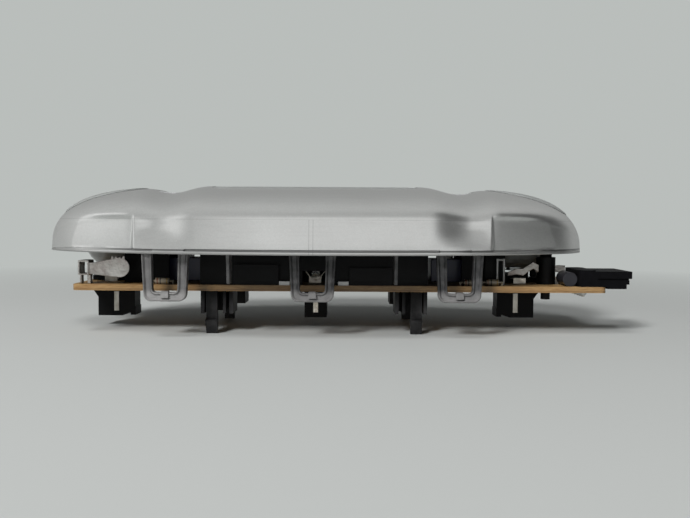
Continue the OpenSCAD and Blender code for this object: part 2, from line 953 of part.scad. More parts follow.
// The right clip: a gull-wing strip whose tail passes through the slot in the right front pillar
module right_spring_clip() {
    path = [[52.4, -5.7], [54.6, -5.2], [56.6, -5.3], [59.3, -2.9], [61, -4.6]];
    blade_top = [[52.4, -5.2], [54.6, -4.3], [56.6, -4.2], [59.3, -2.4], [60.8, -3.2]];
    blade_low = [[60.8, -5.2], [59.3, -4.2], [56.6, -6.1], [54.6, -5.9], [52.4, -6.2]];
    n = len(path);
    sheet_t = 0.45;
    rear = -10.6;
    reach = 2.6;
    color([0.66, 0.65, 0.63])
    union() {
        translate([0, rear, 0])
        rotate([90, 0, 0])
        linear_extrude(reach)
        polygon(concat(path, [for (i = [n - 1:-1:0]) [path[i][0], path[i][1] - sheet_t]]));
        translate([0, rear - reach + 0.2, 0])
        rotate([90, 0, 0])
        linear_extrude(sheet_t)
        polygon(concat(blade_top, blade_low));
        block(60.6, 68.6, rear - 0.4, rear, -5.3, -3.4);
    }
}

// Connector

module connector_housing() {
    front = -board_half;
    rear = front + plug_d;
    body_x = plug_x + 2.6;
    mouth_x = plug_x + 5.4;
    end_x = plug_x + plug_l;
    rim = 1.4;
    hole = pin_half + 0.05;
    color([0.06, 0.06, 0.07])
    difference() {
        union() {
            translate([plug_x + 2, (front + rear) / 2, board_top]) linear_extrude(4.4)
            rounded(2.4, plug_d / 2, 1.6);
            block(body_x, end_x - 1.4, front, rear, plug_low, plug_top);
            block(body_x, end_x - 0.7, front, rear, -7.9, plug_top);
            block(body_x, end_x, front, rear, -6.4, plug_top);
        }
        block(plug_x - 1, board_right + 0.2, front - 1, rear + 1, -12, board_top);
        block(mouth_x, end_x + 1, front + rim, rear - rim, plug_low + plug_wall, plug_top - plug_wall);
        block(mouth_x - 0.8, end_x + 1, front - 1, front + 0.4, -6.8, -6.4);
        for (i = [0:pin_count - 1]) {
            translate([0, pin_y(i), 0]) {
                block(plug_x - 1, plug_x + 8, -hole, hole, pin_z - hole, pin_z + hole);
                block(pin_x - hole, pin_x + hole, -hole, hole, -12, pin_z);
            }
        }
    }
}

module connector_pins() {
    tip_x = 81.6;
    foot_z = -11.4;
    color([0.80, 0.74, 0.55])
    for (i = [0:pin_count - 1]) {
        translate([0, pin_y(i), 0]) {
            block(pin_x - pin_half, tip_x, -pin_half, pin_half, pin_z - pin_half, pin_z + pin_half);
            block(pin_x - pin_half, pin_x + pin_half, -pin_half, pin_half, foot_z, pin_z);
        }
    }
}

module solder_joints() {
    height = 0.8;
    color([0.78, 0.78, 0.76])
    for (i = [0:pin_count - 1]) {
        translate([pin_x, pin_y(i), board_low - height])
        difference() {
            cylinder(h = height, r1 = 0.55, r2 = 1.05, $fn = 24);
            block(-pin_half, pin_half, -pin_half, pin_half, -1, 2);
        }
    }
}

bezel();
centre_lens();
left_reading_lens();
right_reading_lens();
left_push_button();
right_push_button();
housing();
centre_reflector();
left_reflector();
right_reflector();
circuit_board();
left_bulb_holder();
centre_bulb_holder();
right_bulb_holder();
left_holder_contacts();
centre_holder_contacts();
right_holder_contacts();
left_bulb();
centre_bulb();
right_bulb();
left_switch_body();
right_switch_body();
left_switch_plunger();
right_switch_plunger();
left_spring_clip();
right_spring_clip();
connector_housing();
connector_pins();
solder_joints();
resistors();
diodes();
capacitor();
jumper_wires();
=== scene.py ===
import math

import bmesh
import bpy
from mathutils import Matrix, Vector


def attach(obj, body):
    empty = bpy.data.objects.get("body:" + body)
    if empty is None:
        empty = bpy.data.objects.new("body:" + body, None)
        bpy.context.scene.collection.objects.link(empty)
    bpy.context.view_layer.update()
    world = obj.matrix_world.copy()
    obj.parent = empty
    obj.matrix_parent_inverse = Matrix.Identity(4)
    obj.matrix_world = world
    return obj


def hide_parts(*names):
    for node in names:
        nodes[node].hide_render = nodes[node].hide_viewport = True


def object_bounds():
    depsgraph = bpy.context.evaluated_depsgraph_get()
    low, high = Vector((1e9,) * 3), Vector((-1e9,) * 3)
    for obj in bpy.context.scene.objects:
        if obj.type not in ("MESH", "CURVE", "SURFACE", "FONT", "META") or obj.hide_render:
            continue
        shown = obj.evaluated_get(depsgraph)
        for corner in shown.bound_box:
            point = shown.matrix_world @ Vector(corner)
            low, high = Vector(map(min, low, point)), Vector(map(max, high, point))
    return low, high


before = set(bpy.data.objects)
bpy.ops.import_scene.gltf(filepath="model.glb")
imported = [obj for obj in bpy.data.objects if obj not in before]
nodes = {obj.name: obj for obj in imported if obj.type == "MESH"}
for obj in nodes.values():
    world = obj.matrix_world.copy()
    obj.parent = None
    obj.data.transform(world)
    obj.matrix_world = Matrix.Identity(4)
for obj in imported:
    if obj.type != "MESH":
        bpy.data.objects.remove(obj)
cad_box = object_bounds()
mm = 0.001  # the object's sizes are in millimetres, and Blender takes metres

# Camera. The light stands dome up, and the photograph looks level at its long front side from
# about 0.2 m, a little down and with a trace of roll. A 43 mm lens on a 36 mm frame.
camera_place = Vector((8.2, -234.5, 8.7)) * mm
look_down = math.radians(2.74)
camera_roll = math.radians(0.33)
sensor_width, picture_width, focal_pixels = 36, 690, 816
camera = bpy.data.objects.new("camera", bpy.data.cameras.new("camera"))
camera.data.lens = sensor_width * focal_pixels / picture_width
camera.data.sensor_width = sensor_width
camera.data.clip_start = 0.01
camera.matrix_world = (
    Matrix.Translation(camera_place)
    @ Matrix.Rotation(math.pi / 2 - look_down, 4, "X")
    @ Matrix.Rotation(camera_roll, 4, "Z")
)
bpy.context.scene.collection.objects.link(camera)
bpy.context.scene.camera = camera

# Floor, backdrop and lamps. A pale grey-green table top under a backdrop of the same colour. A soft
# key from the front left and a weaker one higher up light it; sheets of light and a dark card show
# only in the gloss of the cover.
backdrop_colour = (0.49, 0.515, 0.50)
floor_z = cad_box[0][2]
table_radius = 6
fade_from, fade_to = 0.13, 0.34


class Socket:
    """One output of a shader node. A sum written with it adds Math nodes to its material."""

    def __init__(self, tree, out):
        self.tree = tree
        self.out = out

    def sum(self, operation, first, second):
        return add_node(self.tree, "Math", {0: first, 1: second}, operation=operation)

    def __add__(self, other):
        return self.sum("ADD", self, other)

    def __radd__(self, other):
        return self.sum("ADD", other, self)

    def __sub__(self, other):
        return self.sum("SUBTRACT", self, other)

    def __rsub__(self, other):
        return self.sum("SUBTRACT", other, self)

    def __mul__(self, other):
        return self.sum("MULTIPLY", self, other)

    def __rmul__(self, other):
        return self.sum("MULTIPLY", other, self)

    def __gt__(self, other):
        return self.sum("GREATER_THAN", self, other)

    def __lt__(self, other):
        return self.sum("LESS_THAN", self, other)

    def __abs__(self):
        return self.sum("ABSOLUTE", self, 0)


def feed(tree, place, value):
    """Links a Socket to an input, or sets the input to a number or a colour."""
    if isinstance(value, Socket):
        tree.links.new(value.out, place)
    elif place.type == "RGBA":
        place.default_value = (*value, 1)
    else:
        place.default_value = value


def add_node(tree, kind, inputs=None, out=0, **settings):
    """Adds a shader node: its settings first, then the values or links of its inputs."""
    made = tree.nodes.new("ShaderNode" + kind)
    for name, value in settings.items():
        if name == "stops":
            ramp = made.color_ramp.elements
            for at, colour in value[2:]:
                ramp.new(at)
            for stop, (at, colour) in zip(ramp, value):
                stop.position = at
                stop.color = (*colour, 1)
        else:
            setattr(made, name, value)
    for name, value in (inputs or {}).items():
        feed(tree, made.inputs[name], value)
    return Socket(tree, made.outputs[out])


class Finish:
    """A material of nodes over one Principled shader, with its pattern on Object coordinates."""

    def __init__(self, name, **shader):
        self.material = bpy.data.materials.new(name)
        self.material.use_nodes = True
        self.tree = self.material.node_tree
        self.shader = self.tree.nodes["Principled BSDF"]
        self.set(**shader)

    def set(self, **values):
        for name, value in values.items():
            feed(self.tree, self.shader.inputs[name.replace("_", " ")], value)

    def node(self, kind, inputs=None, out=0, **settings):
        return add_node(self.tree, kind, inputs, out, **settings)

    def place(self, stretch=None):
        """Object coordinates, or a copy of them scaled by a factor for each axis."""
        place = self.node("TexCoord", out="Object")
        return self.node("Mapping", {"Vector": place, "Scale": stretch}) if stretch else place

    def along(self, axis):
        return self.node("SeparateXYZ", {0: self.place()}, out=axis)

    def noise(self, scale, detail=3, rough=0.5, place=None):
        return self.node(
            "TexNoise",
            {"Vector": place or self.place(), "Scale": scale, "Detail": detail, "Roughness": rough},
        )

    def mix(self, amount, first, second):
        return self.node("Mix", {0: amount, 6: first, 7: second}, out=2, data_type="RGBA")

    def bump(self, height, strength, distance):
        return self.node("Bump", {"Height": height, "Strength": strength, "Distance": distance})


def step(value, low, high):
    """0 below low, 1 above high, straight between them."""
    return add_node(value.tree, "MapRange", {"Value": value, "From Min": low, "From Max": high})


def loose(name, bm):
    """Links a mesh as an object that stands where its vertices are."""
    mesh = bpy.data.meshes.new(name)
    bm.to_mesh(mesh)
    bm.free()
    made = bpy.data.objects.new(name, mesh)
    bpy.context.scene.collection.objects.link(made)
    return made


table = bmesh.new()
bmesh.ops.create_circle(table, cap_ends=True, segments=96, radius=table_radius)
bmesh.ops.translate(table, verts=table.verts, vec=(0, 0, floor_z))
table_top = loose("table_top", table)
table_finish = Finish("pale_table_top", Base_Color=(0.53, 0.547, 0.536), Roughness=0.7)
away = table_finish.node("VectorMath", {0: table_finish.place()}, out="Value", operation="LENGTH")
near = Socket(table_finish.tree, table_finish.shader.outputs[0])
far = table_finish.node("Emission", {"Color": backdrop_colour})
faded = table_finish.node("MixShader", {0: step(away, fade_from, fade_to), 1: near, 2: far})
feed(table_finish.tree, table_finish.tree.nodes["Material Output"].inputs[0], faded)
table_top.data.materials.append(table_finish.material)

world = bpy.data.worlds.new("room")
world.use_nodes = True
room = world.node_tree
backdrop = room.nodes["Background"]
feed(room, backdrop.inputs["Color"], backdrop_colour)
lighting = add_node(room, "Background", {"Color": (0.97, 1.0, 0.98), "Strength": 0.03})
heading = add_node(room, "TexCoord", out="Generated")
rearward = add_node(room, "SeparateXYZ", {0: heading}, out="Y")
rearward = add_node(room, "MapRange", {"Value": rearward, "From Min": -1})
gloss_levels = ((0, 0.50), (0.2, 0.57), (0.5, 0.68), (0.76, 0.55), (0.9, 0.42), (1, 0.38))
gloss_stops = [(at, (level * 0.98, level, level * 0.985)) for at, level in gloss_levels]
gloss_tone = add_node(room, "ValToRGB", {0: rearward}, stops=gloss_stops)
in_gloss = add_node(room, "Background", {"Color": gloss_tone})
camera_ray = add_node(room, "LightPath", out="Is Camera Ray")
clear_ray = add_node(room, "LightPath", out="Is Transmission Ray")
glossy_ray = add_node(room, "LightPath", out="Is Glossy Ray")
seen = camera_ray.sum("MAXIMUM", camera_ray, clear_ray)
unseen = add_node(room, "MixShader", {0: glossy_ray, 1: lighting, 2: in_gloss})
behind = Socket(room, backdrop.outputs[0])
all_rays = add_node(room, "MixShader", {0: seen, 1: unseen, 2: behind})
feed(room, room.nodes["World Output"].inputs["Surface"], all_rays)
bpy.context.scene.world = world
bpy.context.scene.view_settings.view_transform = "Standard"


def lamp(name, place, size, power, shines=True, mirrored=True):
    """A sheet of light that faces the unit. It can be kept to the gloss, or out of it."""
    data = bpy.data.lights.new(name, "AREA")
    data.shape = "RECTANGLE"
    data.size, data.size_y = size
    data.energy = power
    made = bpy.data.objects.new(name, data)
    made.location = place
    made.rotation_euler = (-Vector(place)).to_track_quat("-Z", "Y").to_euler()
    made.visible_glossy = mirrored
    made.visible_diffuse = shines
    bpy.context.scene.collection.objects.link(made)


lamp("front_sheet", (0.23, -1.3, 0.12), (2.2, 0.65), 3.1, shines=False)
lamp("left_sheet", (-1.3, -0.36, 0.26), (0.6, 0.6), 0.85, shines=False)
lamp("key", (-0.52, -1.12, 0.76), (0.28, 0.28), 20.5, mirrored=False)
lamp("top", (-0.25, -0.70, 1.08), (0.4, 0.4), 6.0, mirrored=False)
card_place, card_half = (0.79, -0.06, 0.30), 0.45
card = bmesh.new()
bmesh.ops.create_grid(card, x_segments=1, y_segments=1, size=card_half)
facing = Matrix.Translation(card_place) @ Matrix.Rotation(math.radians(-26), 4, "Z")
facing = facing @ Matrix.Rotation(math.radians(-16), 4, "X") @ Matrix.Rotation(math.pi / 2, 4, "Y")
bmesh.ops.transform(card, matrix=facing, verts=card.verts)
dark_card = loose("dark_card", card)
dark_card.visible_camera = False
dark_card.visible_shadow = False
card_finish = Finish("card_black", Base_Color=(0.02, 0.02, 0.02), Roughness=0.9)
dark_card.data.materials.append(card_finish.material)

# Cover. A shell of ABS, injection moulded and lacquered satin silver: an oval dome with a groove at
# its rim, two scallops for the buttons and a flat panel at each end of the front. The snap loops,
# ribs and bosses are one with it, in the grey of the plastic under a thin overspray. The lacquer
# has painted shade in the rim's groove and on the lip's lower edge, and the grey has painted light
# on the left loops and on the loops' cross bars.
half_l, half_d, cover_h, wall = 75, 37.5, 18, 2
wall_share, lean_width = 0.478, 8
barrel_n, crown_n = 2.2, 7
crown_fall, fall_from, fall_run = 0.5, 33, 15
scallop_x, scallop_in, scallop_out, scallop_depth = 39.3, 10.5, 8, 1.7
flute_low, flute_run = 0.8, 6
flat_a, flat_b = Vector((45, -28.2)), Vector((63.5, -19.4))
flat_low, flat_high, flat_fade = 1.2, 8.7, 1.6
ledge_from, ledge_run, flat_edge = 0.25, 0.3, 0.5
dome_half_l, dome_half_d, dome_corner = 28, 19, 7
button_half_l, button_half_d, button_corner = 5, 8, 2
read_x, read_half_l, read_half_d, read_roundness = 59.5, 11.5, 13.5, 0.8


def ease(t):
    """Rises smoothly from 0 to 1 as t does, and is level outside."""
    t = min(1, max(0, t))
    return t * t * (3 - 2 * t)


def plan_half(x):
    """Half depth of the rim's oval."""
    return half_d * math.sqrt(max(0, 1 - (x / half_l) ** 2))


def scallop(x):
    """Share of the scallop's depth, 1 in its middle and 0 past its edges."""
    past = abs(x) - scallop_x
    t = past / (scallop_in if past < 0 else scallop_out)
    return math.cos(math.pi / 2 * t) ** 2 if abs(t) < 1 else 0


def crown_z(x):
    """Height of the crown along the unit's middle."""
    end = math.sqrt(max(0, 1 - (abs(x) / half_l) ** crown_n))
    top = cover_h - crown_fall * ease((abs(x) - fall_from) / fall_run)
    return top * end - scallop_depth * scallop(x)


def flute(x, z):
    """How far a scallop sets the wall in on its way down to the rim."""
    return scallop_depth * scallop(x) * ease((z - flute_low) / flute_run)


def wall_point(x, share, inset):
    """A point of the upright wall at a share of its height, set in by inset."""
    w = plan_half(x)
    z = wall_share * crown_z(x) * share
    return w - min(1, w / lean_width) * inset - flute(x, z), z


def barrel_side(x):
    """The top of the upright wall, from which the barrel turns over."""
    return wall_point(x, 1, 1)


def barrel_point(x, turn):
    """A point of the barrel that closes the wall over the crown, turn from 0 to 90 degrees."""
    side, knee = barrel_side(x)
    across = max(0, math.cos(turn)) ** (2 / barrel_n)
    return side * across, knee + (crown_z(x) - knee) * math.sin(turn) ** (2 / barrel_n)


def skin_z(x, y):
    """Height of the cover's outside over a place in plan."""
    side, knee = barrel_side(x)
    t = min(1, abs(y) / max(0.01, side))
    return knee + (crown_z(x) - knee) * (1 - t**barrel_n) ** (1 / barrel_n)


# Rows of the cover as (share of the wall's height, inset), and then as turns of the barrel.
lip_rows = [(0, 0.12), (0.012, 0.02), (0.03, 0), (0.075, 0), (0.088, 0.05), (0.092, 0.14)]
groove_rows = [(0.097, 0.66), (0.105, 0.7), (0.138, 0.7), (0.144, 0.62), (0.150, 0.40)]
foot, foot_inset = 0.158, 0.35
wall_rows = [
    (foot + (1 - foot) * i / 16, foot_inset + (1 - foot_inset) * (i / 16) ** 1.4) for i in range(16)
]
upright_rows = lip_rows + groove_rows + wall_rows
barrel_turns = [math.pi / 2 * (i / 26) ** 1.3 for i in range(27)]


def press_flat(point):
    """Sets a point of the front back to the flat panel at its end, with a ledge over the panel."""
    x, y, z = point
    if abs(x) < flat_a.x or y > 0:
        return point
    along = (flat_b - flat_a).normalized()
    out = Vector((along.y, -along.x))
    proud = max(0, (Vector((abs(x), y)) - flat_a).dot(out))
    low = ease((z - flat_low + ledge_from) / ledge_run)
    high = 1 - ease((z - flat_high) / flat_fade)
    side = ease((abs(x) - flat_a.x) / flat_edge)
    shift = -out * proud * low * high * side
    return Vector((x + math.copysign(shift.x, x), y + shift.y, z))


def stations():
    """Places along X, close together at the flat panels' edges and towards the ends."""
    widest, narrowest, crowded, edge_x, edge_reach = 0.62, 0.03, 0.8, flat_a.x + 0.2, 0.7
    x, found = 0.0, [0.0]
    while x < half_l - 0.01:
        near_edge = math.exp(-(((x - edge_x) / edge_reach) ** 2))
        stride = widest * math.sqrt(max(0.0004, 1 - (x / half_l) ** 2)) + narrowest
        x = min(half_l - 0.002, x + stride * (1 - crowded * near_edge))
        found.append(x)
    return [-x for x in reversed(found[1:])] + found


def mapped_grid(bm, columns, rows, place):
    """Adds a grid whose vertex in column i, row j stands at place(i, j)."""
    made = bmesh.ops.create_grid(bm, x_segments=columns - 1, y_segments=rows - 1, size=1)
    for vert in made["verts"]:
        i = round((vert.co.x + 1) / 2 * (columns - 1))
        j = round((vert.co.y + 1) / 2 * (rows - 1))
        vert.co = Vector(place(i, j)) * mm
    bmesh.ops.remove_doubles(bm, verts=made["verts"], dist=1e-6)


def cover_sheet():
    """The outside of the cover as one sheet, from the front rim over the crown to the rear rim."""
    xs = stations()
    half_rows = len(upright_rows) + len(barrel_turns)
    rows = 2 * half_rows - 1

    def place(i, j):
        front = j < half_rows
        level = j if front else rows - 1 - j
        if level < len(upright_rows):
            y, z = wall_point(xs[i], *upright_rows[level])
        else:
            y, z = barrel_point(xs[i], barrel_turns[level - len(upright_rows)])
        return press_flat(Vector((xs[i], -y if front else y, z)))

    sheet = bmesh.new()
    mapped_grid(sheet, len(xs), rows, place)
    bmesh.ops.recalc_face_normals(sheet, faces=sheet.faces)
    return sheet


def prism(bm, outline, low, high, turn=Matrix(), soft=0, channel=0):
    """Adds a solid on a closed outline of (x, y) points in millimetres, turned, with soft edges.
    A channel sinks its two ends inside a sloping edge of that width."""
    sharp_angle, channel_depth = 0.6, 0.5
    face = bm.faces.new([bm.verts.new((x * mm, y * mm, low * mm)) for x, y in outline])
    raised = bmesh.ops.extrude_face_region(bm, geom=[face])
    tops = [v for v in raised["geom"] if isinstance(v, bmesh.types.BMVert)]
    bmesh.ops.translate(bm, verts=tops, vec=(0, 0, (high - low) * mm))
    verts = list(face.verts) + tops
    bmesh.ops.transform(bm, matrix=turn, verts=verts)
    if soft:
        edges = dict.fromkeys(e for v in verts for e in v.link_edges)
        edges = [e for e in edges if len(e.link_faces) == 2 and e.calc_face_angle(0) > sharp_angle]
        bmesh.ops.bevel(
            bm, geom=edges, offset=soft * mm, offset_type="OFFSET", segments=2, profile=0.5,
            affect="EDGES", material=-1,
        )
    if channel:

        def rank(face):
            """Its corners, and among equals how near it is, so that the two ends come last."""
            return len(face.verts), -(face.calc_center_median() - turn.translation).length

        for end in sorted(bm.faces, key=rank)[-2:]:
            bmesh.ops.inset_region(
                bm, faces=[end], thickness=channel * mm, depth=-channel_depth * mm,
                use_even_offset=True,
            )


def arc(cx, cy, radius, first, last, steps=8):
    turns = [math.radians(first + (last - first) * i / steps) for i in range(steps + 1)]
    return [(cx + radius * math.cos(t), cy + radius * math.sin(t)) for t in turns]


def rounded_outline(cx, cy, half_x, half_y, corner, steps=8):
    points = []
    for quarter, (sx, sy) in enumerate(((1, 1), (-1, 1), (-1, -1), (1, -1))):
        middle = (cx + sx * (half_x - corner), cy + sy * (half_y - corner))
        points += arc(*middle, corner, 90 * quarter, 90 * quarter + 90, steps)
    return points


def read_outline(grow, side):
    """The squared oval of a reading lens, grown by a margin, at the left (-1) or right (1) end."""
    outline, points = [], 220
    for i in range(points):
        c, s = math.cos(2 * math.pi * i / points), math.sin(2 * math.pi * i / points)
        across = (read_half_l + grow) * math.copysign(abs(c) ** read_roundness, c)
        outwards = (read_half_d + grow) * math.copysign(abs(s) ** read_roundness, s)
        outline.append((side * (read_x + across), outwards))
    return outline


def finished(name, source, materials, body, node=None):
    """Links a piece with its materials, rides it on its body and puts it in its node's place."""
    made = source if isinstance(source, bpy.types.Object) else loose(name, source)
    made.name = name
    mesh = made.data
    for material in materials:
        mesh.materials.append(material)
    mesh.polygons.foreach_set("use_smooth", [True] * len(mesh.polygons))
    mesh.set_sharp_from_angle(angle=math.radians(35))
    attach(made, body)
    if node:
        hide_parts(node)


def settled(made, *modifiers):
    """Gives an object the mesh that it has after modifiers written as (type, settings)."""
    for kind, settings in modifiers:
        added = made.modifiers.new(kind.lower(), kind)
        for name, value in settings.items():
            setattr(added, name, value)
    graph = bpy.context.evaluated_depsgraph_get()
    mesh = bpy.data.meshes.new_from_object(made.evaluated_get(graph))
    made.modifiers.clear()
    made.data = mesh


window_low, window_high = 5, 25
windows = bmesh.new()
dome_window = rounded_outline(0, 0, dome_half_l, dome_half_d, dome_corner)
prism(windows, dome_window, window_low, window_high)
for side in (-1, 1):
    button_window = rounded_outline(
        side * scallop_x, 0, button_half_l, button_half_d, button_corner
    )
    prism(windows, button_window, window_low, window_high)
    prism(windows, read_outline(0, side), window_low, window_high)
bmesh.ops.recalc_face_normals(windows, faces=windows.faces)
window_cutter = loose("window_cutter", windows)

shell = loose("shell", cover_sheet())
settled(
    shell,
    ("SOLIDIFY", {"thickness": wall * mm, "offset": -1, "material_offset": 1}),
    ("BOOLEAN", {"object": window_cutter, "operation": "DIFFERENCE", "solver": "EXACT"}),
)
bpy.data.objects.remove(window_cutter)

# The six snap loops: a U of square bar with a channel round both faces and a nib on the cross bar.
loop_pitch, loop_y, loop_w, loop_drop, loop_t, loop_d = 37.2, -28.6, 10.9, 12.1, 2.3, 2.2
loop_top, loop_corner, eye_corner = 3.2, 2, 0.9
outer_flare, inner_flare, loop_soft, loop_channel = 0.5, 0.2, 0.35, 0.45
nib_half_w, nib_half_h, nib_corner, nib_rise = 1, 0.9, 0.25, 0.55
nib_back, nib_front = -0.4, 1.45
moulded_edge = 0.12
half_w = loop_w / 2
eye_half = half_w - loop_t
outer = [(-half_w - outer_flare, loop_top), (-half_w - outer_flare, 0)]
outer += arc(loop_corner - half_w, loop_corner - loop_drop, loop_corner, 180, 270)
outer += arc(half_w - loop_corner, loop_corner - loop_drop, loop_corner, 270, 360)
outer += [(half_w + outer_flare, 0), (half_w + outer_flare, loop_top)]
eye_low = loop_t + eye_corner - loop_drop
inner = [(eye_half + inner_flare, loop_top), (eye_half + inner_flare, 0)]
inner += arc(eye_half - eye_corner, eye_low, eye_corner, 360, 270)
inner += arc(eye_corner - eye_half, eye_low, eye_corner, 270, 180)
inner += [(-eye_half - inner_flare, 0), (-eye_half - inner_flare, loop_top)]
nib_z = loop_t - loop_drop - nib_rise
nib = rounded_outline(0, nib_z, nib_half_w, nib_half_h, nib_corner, 3)
hangers = bmesh.new()
for x in (-loop_pitch, 0, loop_pitch):
    for side in (-1, 1):
        upright = Matrix.Translation(Vector((x, side * -loop_y, 0)) * mm)
        upright = upright @ Matrix.Rotation(math.pi / 2, 4, "X")
        prism(hangers, outer + inner, -loop_d / 2, loop_d / 2, upright, loop_soft, loop_channel)
        prism(hangers, nib, nib_back, nib_front, upright, moulded_edge)

# Four thin ribs and four bosses that hold the housing.
rib_x, rib_half = 21, 0.38
rib_outline = [(25, 11), (25, 4), (27.8, -7.5), (31, -7.5), (33.2, 4), (33, 9), (30, 11)]
boss_x, boss_y, boss_z, boss_foot, boss_tip, boss_l = 18, 27, 7, 2.5, 2.3, 10
for sx in (-1, 1):
    for sy in (-1, 1):
        lie = Matrix.Translation((sx * rib_x * mm, 0, 0)) @ Matrix.Rotation(math.pi / 2, 4, "Y")
        lie = lie @ Matrix.Rotation(math.pi / 2, 4, "Z")
        rib = [(y * sy, z) for y, z in rib_outline]
        prism(hangers, rib, -rib_half, rib_half, lie, moulded_edge)
        boss = Matrix.Translation(Vector((boss_x * sx, boss_y * sy, boss_z)) * mm)
        bmesh.ops.create_cone(
            hangers, cap_ends=True, segments=24, radius1=boss_foot * mm, radius2=boss_tip * mm,
            depth=boss_l * mm, matrix=boss,
        )
for face in hangers.faces:
    face.material_index = 1

# Sloped pads that fill the groove over the outer front loops.
pad_from, pad_to = 31.6, 39.9
pad_outline = [(0.02, 0.5), (0.02, 0.85), (0.5, 1.65), (1.2, 1.65), (1.2, 0.5)]
pad_run, pad_fall = pad_to - pad_from, plan_half(pad_from) - plan_half(pad_to)
pad_half = math.hypot(pad_run, pad_fall) / 2
pad_y = -(plan_half(pad_from) + plan_half(pad_to)) / 2
for side in (-1, 1):
    stand = Matrix.Translation(Vector((side * (pad_from + pad_to) / 2, pad_y, 0)) * mm)
    stand = stand @ Matrix.Rotation(side * math.atan2(pad_fall, pad_run), 4, "Z")
    stand = stand @ Matrix.Rotation(math.pi / 2, 4, "Z") @ Matrix.Rotation(math.pi / 2, 4, "X")
    prism(hangers, pad_outline, -pad_half, pad_half, stand, moulded_edge)
bmesh.ops.recalc_face_normals(hangers, faces=hangers.faces)
for vert in shell.data.vertices:
    vert.co.z = max(0, vert.co.z)
hangers.from_mesh(shell.data)
bpy.data.objects.remove(shell)

silver = Finish("satin_silver_lacquer", Metallic=0.91)
flake = silver.noise(2600, 2, 0.6)
cloud = silver.noise(60, 3)
streak = silver.noise(1500, 2, place=silver.place(stretch=(0.03, 1.0, 1.0)))
level = silver.along(2)
from_seam = abs(silver.along(0) + 0.1 * mm)
seam_edge = (from_seam > 0.42 * mm) * (from_seam < 0.58 * mm) * (level < flat_high * mm)
seam_edge = seam_edge * (silver.along(1) < 0)
part_line = abs(level - 8.68 * mm) < 0.07 * mm
# Painted shade: the rim's groove is darkened, fading out towards the left end.
groove_painted_shade = (level > 0.79 * mm) * (level < 1.23 * mm)
groove_painted_shade = groove_painted_shade * step(silver.along(0), -56 * mm, -46 * mm)
# Painted shade: the lip's lower edge, which faces down, is darkened.
lip_painted_shade = 1 - step(level, 0.2 * mm, 0.8 * mm)
tone = silver.mix(flake, (0.53, 0.532, 0.525), (0.65, 0.652, 0.645))
tone = silver.mix(step(streak, 0.5, 0.75) * 0.30, tone, (0.50, 0.50, 0.495))
tone = silver.mix(step(cloud, 0.35, 0.7) * 0.25, tone, (0.50, 0.49, 0.485))
tone = silver.mix(groove_painted_shade * 0.72, tone, (0.05, 0.05, 0.05))
tone = silver.mix(lip_painted_shade * 0.5, tone, (0.16, 0.155, 0.15))
tone = silver.mix(seam_edge * 0.35 + part_line * 0.22, tone, (0.16, 0.16, 0.16))
silver.set(Base_Color=tone, Roughness=0.30 + cloud * 0.10)
silver.set(Normal=silver.bump(silver.noise(1300, 2), 0.10, 0.04 * mm))

grey = Finish("grey_moulding_overspray_and_painted_light")
mist = grey.noise(420, 4, 0.65)
# Painted light: the loops towards the left are lighter and a little metallic, as lit from the left,
# and the cross bars at the loops' feet are lighter, as they catch the light below the rim's shade.
# The mist and the band near the rim are overspray.
painted_light_leftward = step(0 - grey.along(0), 15 * mm, 34 * mm)
near_rim = step(grey.along(2), -2 * mm, 0.6 * mm)
painted_light_on_cross_bar = step(0 - grey.along(2), 8.8 * mm, 10.4 * mm)
overspray_and_painted_light = step(mist, 0.40, 0.68) * 0.12 + painted_light_leftward * 0.22 + near_rim * 0.2 + painted_light_on_cross_bar * 0.28
tone = grey.mix(overspray_and_painted_light, (0.018, 0.018, 0.019), (0.46, 0.45, 0.445))
grey.set(Base_Color=tone, Roughness=0.38 + mist * 0.15, Metallic=painted_light_leftward * 0.2)
grey.set(Normal=grey.bump(mist, 0.15, 0.1 * mm))

finished(
    "cover", hangers, [silver.material, grey.material], "unit",
    node="bezel",
)

# Lenses. Frosted polycarbonate: a wide centre lens with fine prisms moulded in, and a reading lens
# at each end that follows the cover a little proud of it. All three clip in from behind.
gap, lens_t, read_proud, crown_r = 0.3, 2, 0.35, 171
centre_lens_t, centre_lens_drop = 3, 0.05
lens_rings, lens_edge, lens_roll = 34, 0.03, 0.3


def dished(outline, height, thick):
    """A disc of rings inside an outline, each point at height(x, y), thickened downwards. Its edge
    is rolled down a little, as it comes out of the mould."""
    cx = sum(x for x, y in outline) / len(outline)
    count = len(outline)

    def place(i, j):
        share = min(1, (j / (lens_rings - 1)) ** 0.7 + 0.003)
        x, y = outline[i % count]
        x = cx + (x - cx) * share
        into_edge = max(0, share - (1 - lens_edge)) / lens_edge
        roll = lens_roll * (1 - math.sqrt(max(0, 1 - into_edge**2)))
        return (x, y * share, height(x, y * share) - roll)

    disc = bmesh.new()
    mapped_grid(disc, count + 1, lens_rings, place)
    eye = [e for e in disc.edges if e.is_boundary and e.calc_length() < 0.3 * mm]
    bmesh.ops.holes_fill(disc, edges=eye)
    bmesh.ops.recalc_face_normals(disc, faces=disc.faces)
    if sum(face.normal.z for face in disc.faces) < 0:
        bmesh.ops.reverse_faces(disc, faces=disc.faces)
    made = loose("disc", disc)
    settled(made, ("SOLIDIFY", {"thickness": thick * mm, "offset": -1}))
    return made


frosted = Finish("frosted_lens", Base_Color=(0.42, 0.435, 0.425), IOR=1.49)
ridges = frosted.node("Math", {0: frosted.along(0) * 2600}, operation="SINE")
ridges = ridges + frosted.node("Math", {0: frosted.along(1) * 2600}, operation="SINE")
grain = frosted.noise(900, 3)
frosted.set(Transmission_Weight=0.45, Roughness=0.34 + grain * 0.12)
frosted.set(Normal=frosted.bump(ridges * 0.4 + grain, 0.2, 0.2 * mm))


